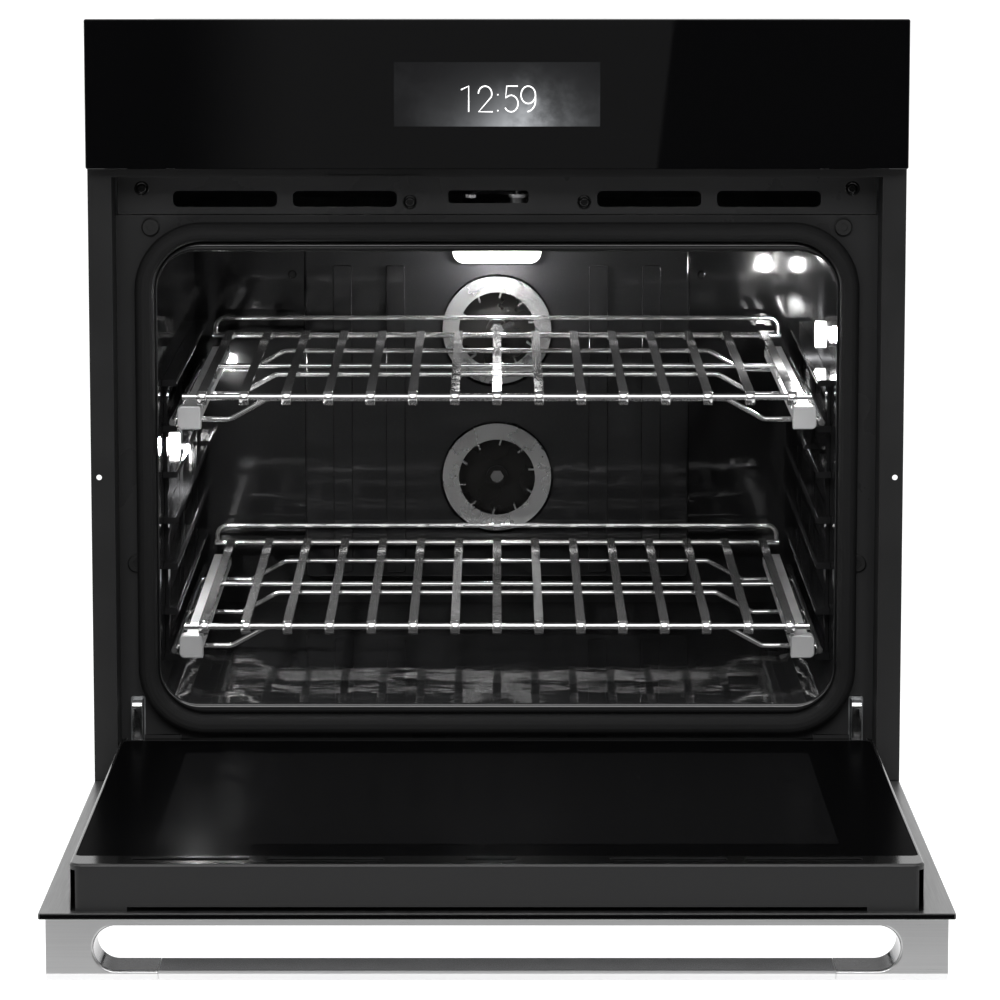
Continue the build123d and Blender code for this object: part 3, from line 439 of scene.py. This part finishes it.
def braid():
    """Braided glass-fibre rope with wire strands, woven round the tube."""
    mat = Material("braid", (0.0040, 0.0040, 0.0042), roughness=0.6, Specular_IOR_Level=0.22)
    attribute = mat.nodes.new("ShaderNodeAttribute")
    attribute.attribute_name = "weave"
    place = attribute.outputs["Vector"]
    ribs = mat.wave(1.0, "Y", vector=place)
    cross = mat.wave(1.0, "X", vector=place)
    weave = mat.math("MULTIPLY", ribs, mat.ramp(cross, 0.45, 1.0, 0.0, 1.0))
    mat.blend(mat.ramp(weave, 0.0, 0.9, 0.2, 1.0), (0.014, 0.014, 0.0145))
    mat.rough(weave, 0.70, 0.50)
    mat.bump(weave, 0.45, 0.0006)
    return mat.material


def door_box_enamel():
    """Satin front edge of the door box; its upward-facing inner border is made glossier and coloured
    near black as a painted dark reflection.
    """
    mat = Material("door_box_enamel", (0.018, 0.018, 0.0184), roughness=0.3, Specular_IOR_Level=0.30)
    split = mat.nodes.new("ShaderNodeSeparateXYZ")
    normal = mat.nodes.new("ShaderNodeTexCoord").outputs["Normal"]
    mat.links.new(normal, split.inputs[0])
    # painted reflection: faces turned up are coloured near black for the dark surroundings they mirror,
    # and made glossier
    painted_reflection_border = mat.ramp(split.outputs["Z"], 0.0, 1.0, 0.55, 0.95)
    mat.blend(painted_reflection_border, (0.0012, 0.0012, 0.0012))
    mat.rough(painted_reflection_border, 0.30, 0.10)
    mat.bump(mat.noise(900.0, detail=2.0), 0.05, 0.0002)
    return mat.material


NODE_MATERIALS = {"door_liner": door_box_enamel}

SLOT_MATERIALS = {
    "galvanised": zinc_sheet,
    "black_trim": lambda: satin_black("black_trim", 0.0120, 0.30, 0.42, 0.35),
    "frame_enamel": lambda: satin_black("frame_enamel", 0.0300, 0.24, 0.36, 0.30),
    "oven_enamel": oven_enamel,
    "dark_rubber": lambda: moulded("dark_rubber", 0.006, 0.6),
    "dark_screw": lambda: satin_black("dark_screw", 0.006, 0.10, 0.18),
    "heater": heater_sheath,
    "lamp_glass": lamp_glass,
    "motor_steel": lambda: brushed("motor_steel", 0.25, 0.45, "Z"),
    "rail_steel": cast_zinc,
    "chrome_rod": plated_rod,
    "fan_steel": fan_steel,
    "black_glass": black_glass,
    "window_glass": window_glass,
    "display_body": lambda: moulded("display_body", 0.02, 0.5),
    "door_steel": lambda: brushed("door_steel", 0.26, 0.36, "Y"),
    "hinge_steel": lambda: brushed("hinge_steel", 0.60, 0.16, "Z"),
    "stainless": lambda: brushed("stainless", 0.74, 0.32, "X"),
    "braided_gasket": braid,
}


def dress_nodes():
    """Gives every CAD node the material of its slot."""
    made = {name: build() for name, build in SLOT_MATERIALS.items()}
    for part in frame["record"]["subparts"]:
        mesh = NODES[part["node"]].data
        mesh.materials.clear()
        own = NODE_MATERIALS.get(part["node"])
        mesh.materials.append(own() if own else made[part["material_slot"]])
    return made


# ------------------------------------------------------------------ pieces

def add_piece(name, mesh, material, body):
    """A new object on a body."""
    piece = bpy.data.objects.new(name, mesh)
    SCENE.collection.objects.link(piece)
    mesh.materials.append(material)
    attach(piece, body)
    return piece


def smooth(mesh):
    mesh.polygons.foreach_set("use_smooth", [True] * len(mesh.polygons))


def walk_loop(half_x, low, high, radius, arc_parts, side_parts):
    """Points and outward directions round an upright rounded rectangle."""
    corners = [
        (half_x - radius, high - radius, 0),
        (-half_x + radius, high - radius, 90),
        (-half_x + radius, low + radius, 180),
        (half_x - radius, low + radius, 270),
    ]
    points = []
    for number, (cx, cz, start) in enumerate(corners):
        arc_count = arc_parts(radius)
        for k in range(arc_count + 1):
            turn = math.radians(start + 90 * k / arc_count)
            out = (math.cos(turn), math.sin(turn))
            points.append(((cx + radius * out[0], cz + radius * out[1]), out))
        nx, nz, following = corners[(number + 1) % 4]
        turn = math.radians(following)
        out = (math.cos(turn), math.sin(turn))
        x, z = points[-1][0]
        ahead = (nx + radius * out[0], nz + radius * out[1])
        side_count = side_parts(math.dist((x, z), ahead))
        for k in range(1, side_count):
            t = k / side_count
            points.append(((x + (ahead[0] - x) * t, z + (ahead[1] - z) * t), out))
    return points


def loop_points(half_x, low, high, radius, step):
    """A rounded loop divided into equal steps."""
    return walk_loop(
        half_x,
        low,
        high,
        radius,
        lambda r: max(2, round(r * math.pi / 2 / step)),
        lambda length: max(1, round(length / step)),
    )


def rounded_loop(half_x, low, high, radius, per_corner=14, per_side=24):
    """A rounded loop with the same number of points whatever its size."""
    walk = walk_loop(half_x, low, high, radius, lambda r: per_corner, lambda length: per_side)
    return [point for point, _ in walk]


GASKET_BAND = 0.018
GASKET_CORNER = 0.064
GASKET_RIBS = 9
GASKET_STEP = 0.004
GASKET_SIDES = 54
WEAVE_PITCH = 0.0022
WEAVE_ROUND = 30.0


def squared(value):
    """A sine or cosine pushed outward, for a section fuller than a circle."""
    return math.copysign(abs(value) ** 0.8, value)


def door_gasket(material):
    """Braided tube round the mouth, with ribs along it."""
    low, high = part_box("door_gasket")
    depth = high.y - low.y
    half = GASKET_BAND / 2
    corner = GASKET_CORNER - half
    track = loop_points(high.x - half, low.z + half, high.z - half, corner, GASKET_STEP)
    around = GASKET_SIDES
    vertices, weave = [], []
    length = 0.0
    previous = track[0][0]
    for (x, z), out in track:
        length += math.dist(previous, (x, z))
        previous = (x, z)
        for k in range(around):
            turn = 2 * math.pi * k / around
            squash = 1.0 - 0.035 * (0.5 - 0.5 * math.cos(GASKET_RIBS * 2 * turn))
            wide = squared(math.cos(turn)) * half * squash
            deep = squared(math.sin(turn)) * depth / 2 * squash
            y = low.y + depth / 2 - deep
            vertices.append((x + out[0] * wide, y, z + out[1] * wide))
            weave.append((length / WEAVE_PITCH, k / around * WEAVE_ROUND, 0.0))
    rings = len(track)
    faces = []
    for ring in range(rings):
        ahead = (ring + 1) % rings
        for k in range(around):
            side = (k + 1) % around
            here, there = ring * around, ahead * around
            faces.append((here + k, there + k, there + side, here + side))
    mesh = bpy.data.meshes.new("gasket_braid")
    mesh.from_pydata(vertices, [], faces)
    attribute = mesh.attributes.new("weave", "FLOAT_VECTOR", "POINT")
    attribute.data.foreach_set("vector", [value for point in weave for value in point])
    smooth(mesh)
    piece = add_piece("gasket_braid", mesh, material, "chassis")
    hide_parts("door_gasket")


# ------------------------------------------------------------------ display

LCD_HALF = (0.0945, 0.0295)
LCD_PROUD = 0.00025
LCD_T = 0.0004
GLOW_X = 0.020
GLOW_BELOW = 0.006
GLOW_SIZE = (0.050, 0.030)
GLOW_DRIFT = 0.075

DIGIT_H = 0.0235
DIGIT_SPREAD = 0.94
DIGIT_CELLS = 3.12
DIGIT_STROKE_R = 0.00062
DIGIT_DROP = 0.0160
DIGIT_SHIFT = 0.001


def lcd_material():
    """Smoke drifting up from the bottom edge of a dark screen."""
    mat = Material("lcd_smoke", (0.004, 0.004, 0.0045), roughness=0.12)
    low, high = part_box("control_panel_glass")
    glow_z = (low.z + high.z) / 2 - LCD_HALF[1] - GLOW_BELOW
    drift = mat.noise(20.0, detail=7.0, rough=0.62)
    shift = mat.math("MULTIPLY", mat.math("SUBTRACT", drift, 0.5), GLOW_DRIFT)
    x = mat.math("ADD", mat.math("SUBTRACT", mat.axis("X"), GLOW_X), shift)
    z = mat.math("ADD", mat.math("SUBTRACT", mat.axis("Z"), glow_z), shift)
    spread = mat.math("POWER", mat.math("MULTIPLY", x, 1 / GLOW_SIZE[0]), 2.0)
    rise = mat.math("POWER", mat.math("MULTIPLY", z, 1 / GLOW_SIZE[1]), 2.0)
    glow = mat.math("DIVIDE", 1.0, mat.math("ADD", mat.math("ADD", spread, rise), 1.0))
    glow = mat.math("POWER", glow, 2.4)
    haze = mat.ramp(drift, 0.0, 0.012, 0.42, 0.75)
    total = mat.math("ADD", mat.math("MULTIPLY", glow, 0.55), mat.math("ADD", haze, 0.001))
    mat.links.new(total, mat.shader.inputs["Emission Strength"])
    mat.set("Emission Color", (0.93, 0.96, 1.0, 1.0))
    return mat.material


def digit_material():
    mat = Material("digit_light", (0.9, 0.9, 0.9), roughness=0.4)
    mat.set("Emission Color", (1.0, 1.0, 1.0, 1.0))
    mat.links.new(mat.ramp(mat.noise(300.0), 0.92, 1.05), mat.shader.inputs["Emission Strength"])
    return mat.material


def arc(cx, cz, rx, rz, start, end, count=14):
    """Points along an elliptic arc, in degrees."""
    turns = [math.radians(start + (end - start) * k / count) for k in range(count + 1)]
    return [(cx + rx * math.cos(t), cz + rz * math.sin(t)) for t in turns]


def digit_strokes():
    """Clock figures and their places, as strokes in cells one high."""
    one = [[(0.02, 0.86), (0.34, 1.0), (0.34, 0.0)]]
    two = [arc(0.30, 0.70, 0.28, 0.30, 178, -25) + [(0.03, 0.0), (0.62, 0.0)]]
    dots = [[(0.0, 0.64), (0.0, 0.69)], [(0.0, 0.02), (0.0, 0.07)]]
    five = [[(0.58, 1.0), (0.12, 1.0), (0.07, 0.54)] + arc(0.30, 0.32, 0.29, 0.325, 128, -150)]
    tail = [(0.61, 0.66)] + arc(0.22, 0.42, 0.39, 0.42, 0, -82)
    nine = [arc(0.31, 0.66, 0.30, 0.34, 0, 360, 28), tail]
    return [(one, 0.0), (two, 0.72), (dots, 1.55), (five, 1.80), (nine, 2.50)]


def display(lcd, light):
    """Screen face and clock figures just proud of the panel glass."""
    low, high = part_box("control_panel_glass")
    front = low.y - LCD_PROUD
    middle = (low.z + high.z) / 2
    build = bmesh.new()
    bmesh.ops.create_cube(build, size=1.0)
    for vertex in build.verts:
        vertex.co.x *= 2 * LCD_HALF[0]
        vertex.co.y = vertex.co.y * LCD_T + front + LCD_T / 2
        vertex.co.z = vertex.co.z * 2 * LCD_HALF[1] + middle
    face = bpy.data.meshes.new("display_screen")
    build.to_mesh(face)
    build.free()
    add_piece("display_screen", face, lcd, "chassis")
    cell = DIGIT_H * DIGIT_SPREAD
    start = -DIGIT_CELLS * cell / 2 + DIGIT_SHIFT
    base = middle - DIGIT_DROP
    curve = bpy.data.curves.new("clock_digits", "CURVE")
    curve.dimensions = "3D"
    curve.bevel_depth = DIGIT_STROKE_R
    curve.bevel_resolution = 3
    curve.use_fill_caps = True
    for strokes, offset in digit_strokes():
        for stroke in strokes:
            line = curve.splines.new("POLY")
            line.points.add(len(stroke) - 1)
            for point, (x, z) in zip(line.points, stroke):
                point.co = (start + (offset + x) * cell, front - 0.0001, base + z * DIGIT_H, 1.0)
    digits = bpy.data.objects.new("clock_digits", curve)
    SCENE.collection.objects.link(digits)
    curve.materials.append(light)
    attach(digits, "chassis")


# ------------------------------------------------------------------ small front details

def lathe(rings, places, count=40):
    """Turned shapes about axes that run front to back; rings are (radius, y) pairs."""
    vertices, faces = [], []
    for x, z in places:
        first = len(vertices)
        for radius, y in rings:
            for k in range(count):
                turn = 2 * math.pi * k / count
                vertices.append((x + radius * math.cos(turn), y, z + radius * math.sin(turn)))
        for ring in range(len(rings) - 1):
            for k in range(count):
                side = (k + 1) % count
                low = first + ring * count
                faces.append((low + k, low + side, low + count + side, low + count + k))
    mesh = bpy.data.meshes.new("lathe")
    mesh.from_pydata(vertices, [], faces)
    smooth(mesh)
    return mesh


TRIM_SCREWS = [(0.3315, 0.5707), (0.0813, 0.5580)]
FRAME_FACE = 0.044
DIMPLE_RINGS = [(0.0069, 0.0), (0.0066, 0.0005), (0.0061, 0.0006), (0.0044, 0.0001)]


def screw_dimples():
    """Pressed dimple rings round the four screws of the vent trim, coloured near black as painted shade
    of the dimples.
    """
    # painted shade: near-black rings standing in for the shaded pressed recess round each screw
    mat = Material("dimple_painted_shade", (0.002, 0.002, 0.002), roughness=0.12)
    mat.rough(mat.noise(300.0), 0.08, 0.2)
    places = [(side * x, z) for x, z in TRIM_SCREWS for side in (-1, 1)]
    rings = [(radius, FRAME_FACE - rise) for radius, rise in DIMPLE_RINGS]
    add_piece("screw_dimples", lathe(rings, places), mat.material, "chassis")


MOUTH_INNER = (0.3180, 0.0820, 0.5120, 0.0360)
MOUTH_OUTER = (0.3198, 0.0722, 0.5213, 0.0455)
MOUTH_FACE = 0.0420
MOUTH_BULGE = 0.0030
MOUTH_STEPS = 12


def mouth_roll(material):
    """Rolled enamel bead between the cavity and the gasket."""
    inner, outer = rounded_loop(*MOUTH_INNER), rounded_loop(*MOUTH_OUTER)
    steps = MOUTH_STEPS
    vertices = []
    for (x0, z0), (x1, z1) in zip(inner, outer):
        wide = math.dist((x0, z0), (x1, z1))
        for k in range(steps + 1):
            t = k / steps
            bulge = min(MOUTH_BULGE, wide * 0.8) * math.sin(math.pi * t) ** 0.6
            vertices.append((x0 + (x1 - x0) * t, MOUTH_FACE - bulge, z0 + (z1 - z0) * t))
    faces = []
    rows = steps + 1
    for ring in range(len(inner)):
        ahead = (ring + 1) % len(inner)
        for k in range(steps):
            here, there = ring * rows + k, ahead * rows + k
            faces.append((here, here + 1, there + 1, there))
    mesh = bpy.data.meshes.new("mouth_roll")
    mesh.from_pydata(vertices, [], faces)
    smooth(mesh)
    add_piece("mouth_roll", mesh, material, "chassis")


WRAP_R = 0.0068
WRAP_HALF = 0.0045
WRAP_BORE = 0.0032
WRAP_EDGE = (0.0006, 0.0007)
WRAP_DROP = 0.0010
WRAP_SIDES = 28
FRONT_ROD_Y = 0.065
FRONT_ROD_Z = {"lower": 0.1515, "upper": 0.3715}
SLAT_COUNT = 15
SLAT_PITCH = 0.0398


def slat_wraps(material):
    """Bright sleeves where the slats curl round the front rod."""
    rim, lip = WRAP_EDGE
    profile = [(WRAP_BORE, -WRAP_HALF), (WRAP_R - rim, -WRAP_HALF), (WRAP_R, -WRAP_HALF + lip)]
    profile += [(radius, -offset) for radius, offset in reversed(profile)]
    count = WRAP_SIDES
    for name, z in FRONT_ROD_Z.items():
        vertices, faces = [], []
        for number in range(SLAT_COUNT):
            middle = (number - (SLAT_COUNT - 1) / 2) * SLAT_PITCH
            first = len(vertices)
            for radius, offset in profile:
                centre = z - (WRAP_DROP if radius > WRAP_BORE else 0.0)
                for k in range(count):
                    turn = 2 * math.pi * k / count
                    y = FRONT_ROD_Y + radius * math.cos(turn)
                    vertices.append((middle + offset, y, centre + radius * math.sin(turn)))
            for ring in range(len(profile) - 1):
                for k in range(count):
                    side = (k + 1) % count
                    low = first + ring * count
                    faces.append((low + k, low + side, low + count + side, low + count + k))
        mesh = bpy.data.meshes.new(f"{name}_slat_wraps")
        mesh.from_pydata(vertices, [], faces)
        smooth(mesh)
        add_piece(f"{name}_slat_wraps", mesh, material, f"{name}_rack")


HINGE = Vector((0.0, 0.010, 0.0415))
OPEN = math.radians(89.0)


def opened(point):
    """Place of a closed-door point with the door down."""
    return HINGE + Matrix.Rotation(OPEN, 3, "X") @ (Vector(point) - HINGE)


def strip_boxes(name, boxes, material):
    """Thin plates of the closed door, carried with it."""
    build = bmesh.new()
    for low, high in boxes:
        made = bmesh.ops.create_cube(build, size=1.0)
        for vertex in made["verts"]:
            place = [(low[k] + high[k]) / 2 + vertex.co[k] * (high[k] - low[k]) for k in range(3)]
            vertex.co = opened(place)
    mesh = bpy.data.meshes.new(name)
    build.to_mesh(mesh)
    build.free()
    add_piece(name, mesh, material, "door")


SCREEN_HALF = 0.343
SCREEN_Y = 0.0222
SCREEN_T = 0.0005
SCREEN_Z = (0.5545, 0.5795)
STRIKE_X = (-0.034, 0.022)
STRIKE_SCREEN_Y = 0.0070


def vent_shade_screen():
    """Near-black sheets behind the door's vent slots, painted shade of the door's inside, set deeper
    where the latch hook enters.
    """
    strips = [
        ((-SCREEN_HALF, SCREEN_Y), (STRIKE_X[0], SCREEN_Y + SCREEN_T)),
        ((STRIKE_X[0], STRIKE_SCREEN_Y), (STRIKE_X[1], STRIKE_SCREEN_Y + SCREEN_T)),
        ((STRIKE_X[1], SCREEN_Y), (SCREEN_HALF, SCREEN_Y + SCREEN_T)),
    ]
    boxes = [((*near, SCREEN_Z[0]), (*far, SCREEN_Z[1])) for near, far in strips]
    # painted shade: near-black sheets that make the vent slots read dark
    strip_boxes("vent_shade_screen", boxes, moulded("vent_shade_screen", 0.003, 0.7))


GRIP_HALF = 0.2835
GRIP_INNER_Y = -0.0790
GRIP_Z = (0.4845, 0.5245)
GRIP_T = 0.0004


def grip_knurl_and_shade():
    """Knurled insert along the finger side of the middle grip; the knurl is real, its dark grey colour
    and darker grooves are painted shade.
    """
    mat = Material("grip_knurl_and_shade", (0.20, 0.20, 0.205), roughness=0.32, metallic=1.0)
    turned = mat.mapped((1, 1, 1), (0, 0, math.radians(45)))
    one = mat.wave(330.0, "X", vector=turned)
    two = mat.wave(330.0, "Y", vector=turned)
    knurl = mat.math("MULTIPLY", one, two)
    mat.rough(knurl, 0.45, 0.28)
    # painted shade: dark base colour, with the knurl grooves darker than the ridges
    mat.blend(mat.ramp(knurl, 0.0, 1.0), (0.34, 0.34, 0.35))
    mat.bump(knurl, 0.6, 0.0004)
    low = (-GRIP_HALF, GRIP_INNER_Y, GRIP_Z[0])
    high = (GRIP_HALF, GRIP_INNER_Y + GRIP_T, GRIP_Z[1])
    strip_boxes("grip_knurl_and_shade", [(low, high)], mat.material)


END_SEAM = 0.2844
END_ARC_X = 0.3191
END_ARC_R = 0.0195
END_BASE_Y = -0.0400
END_STRAIGHT = 0.302
LINER_SKIN = 0.0003
LINER_BACKING = 0.00002
LINER_TURNS = 24
HANDLE_LOW = 0.4825
HANDLE_HIGH = 0.5255
HANDLE_BAND = 0.012


def end_dark_reflections():
    """Polished dark sheet lining the handle opening at its two rounded ends, a painted dark reflection
    in place of the bright stainless these ends show.
    """
    # painted reflection: dark polished colour standing in for the dark surroundings the stainless ends
    # mirror
    mat = Material("painted_dark_end", (0.16, 0.16, 0.165), roughness=0.10, metallic=1.0)
    mat.rough(mat.noise(80.0), 0.07, 0.14)
    mat.bump(mat.noise(18.0), 0.10, 0.0015)
    middle = END_BASE_Y - END_ARC_R
    path = []
    for radius in (END_ARC_R - LINER_SKIN, END_ARC_R - LINER_BACKING):
        run = [(END_SEAM + LINER_SKIN, middle - radius), (END_STRAIGHT, middle - radius)]
        for k in range(LINER_TURNS + 1):
            turn = math.radians(-90 + 180 * k / LINER_TURNS)
            run.append((END_ARC_X + radius * math.cos(turn), middle + radius * math.sin(turn)))
        path.append(run)
    heights = [HANDLE_LOW, HANDLE_LOW + HANDLE_BAND, HANDLE_HIGH - HANDLE_BAND, HANDLE_HIGH]
    for name, side in (("left", -1), ("right", 1)):
        vertices = []
        for run in path:
            for x, y in run:
                vertices += [opened((side * x, y, z)) for z in heights]
        rows, length = len(heights), len(path[0])
        faces = []
        for layer in range(2):
            base = layer * length * rows
            for k in range(length - 1):
                for r in range(rows - 1):
                    a = base + k * rows + r
                    faces.append((a, a + rows, a + rows + 1, a + 1))
        mesh = bpy.data.meshes.new(f"end_dark_reflection_{name}")
        mesh.from_pydata(vertices, [], faces)
        smooth(mesh)
        add_piece(f"end_dark_reflection_{name}", mesh, mat.material, "door")


CARD_HALF = 1.2
CARD_Y = (-2.0, -0.56)
CARD_Z = FLOOR_Z + 0.12


def reflection_card():
    """Grey card under the handle that only its bright bevel mirrors."""
    mesh = bpy.data.meshes.new("grey_card")
    mesh.from_pydata(flat_corners(CARD_HALF, *CARD_Y, CARD_Z), [], [(0, 1, 2, 3)])
    card = bpy.data.objects.new("grey_card", mesh)
    SCENE.collection.objects.link(card)
    mat = Material("grey_card", (0.05, 0.05, 0.05), roughness=1.0, Specular_IOR_Level=0.0)
    mat.tint(mat.noise(2.0), 0.05)
    mat.set("Emission Color", (1.0, 1.0, 1.0, 1.0))
    mat.set("Emission Strength", 0.80)
    mesh.materials.append(mat.material)
    card.visible_camera = False
    card.visible_diffuse = False
    card.visible_shadow = False
    card.visible_transmission = False


# ------------------------------------------------------------------ build

make_camera()
make_lights()
make_world()
make_floor()
MATERIALS = dress_nodes()
door_gasket(MATERIALS["braided_gasket"])
display(lcd_material(), digit_material())
screw_dimples()
grip_knurl_and_shade()
end_dark_reflections()
mouth_roll(MATERIALS["oven_enamel"])
slat_wraps(MATERIALS["chrome_rod"])
vent_shade_screen()
reflection_card()

SCENE.view_settings.view_transform = "Standard"
